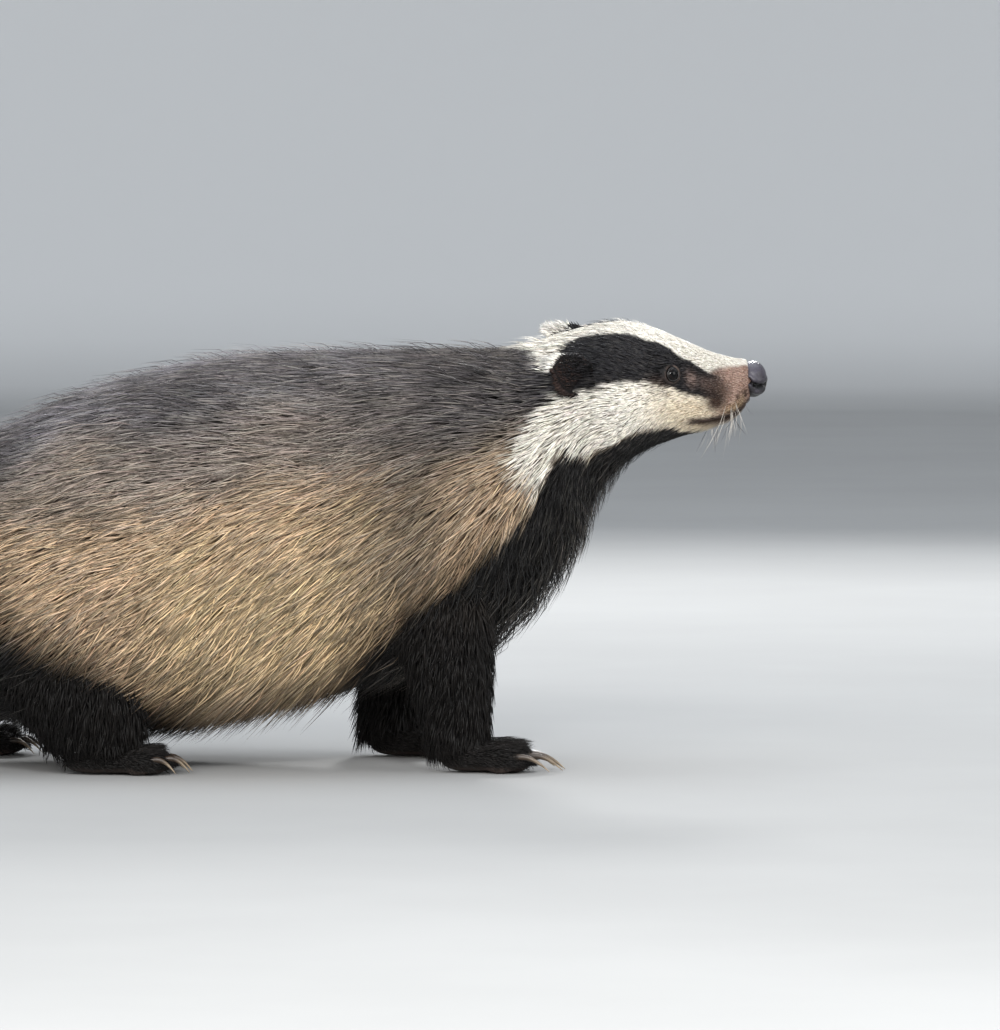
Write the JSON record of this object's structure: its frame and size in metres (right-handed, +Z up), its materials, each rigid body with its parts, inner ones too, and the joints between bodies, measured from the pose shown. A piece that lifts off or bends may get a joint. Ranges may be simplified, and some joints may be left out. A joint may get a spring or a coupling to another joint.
{
  "type": "european badger model",
  "caption": "Life-size still model of a European badger standing on four feet with its head raised and its long coat lying back.",
  "frame": {"origin": "on the floor, at the centre of the model's outline seen from above", "axes": "+X the way the badger faces, +Y its left side, +Z up"},
  "size_m": [0.7044, 0.2741, 0.3204],
  "materials": {
    "body_coat": "long coarse guard hair, grizzled grey above and tan below",
    "neck_coat": "dense grizzled hair",
    "face_coat": "short hair, white with two black stripes",
    "black_coat": "short black hair",
    "nose_leather": "moist granular leather",
    "claw_horn": "satin horn",
    "eye": "wet and glossy"
  },
  "bodies": {
    "root": {"torso": "body_coat", "neck": "neck_coat", "tail": "body_coat", "head": "face_coat", "nose": "nose_leather", "eye_right": "eye", "ear_right": "black_coat", "foreleg_right": "black_coat", "forepaw_right": "black_coat", "foreclaw_right_1": "claw_horn", "foreclaw_right_2": "claw_horn", "foreclaw_right_3": "claw_horn", "foreclaw_right_4": "claw_horn", "foreclaw_right_5": "claw_horn", "hindleg_right": "black_coat", "hindpaw_right": "black_coat", "hindclaw_right_1": "claw_horn", "hindclaw_right_2": "claw_horn", "hindclaw_right_3": "claw_horn", "hindclaw_right_4": "claw_horn", "hindclaw_right_5": "claw_horn", "eye_left": "eye", "ear_left": "black_coat", "foreleg_left": "black_coat", "forepaw_left": "black_coat", "foreclaw_left_1": "claw_horn", "foreclaw_left_2": "claw_horn", "foreclaw_left_3": "claw_horn", "foreclaw_left_4": "claw_horn", "foreclaw_left_5": "claw_horn", "hindleg_left": "black_coat", "hindpaw_left": "black_coat", "hindclaw_left_1": "claw_horn", "hindclaw_left_2": "claw_horn", "hindclaw_left_3": "claw_horn", "hindclaw_left_4": "claw_horn", "hindclaw_left_5": "claw_horn"}
  },
  "joints": []
}
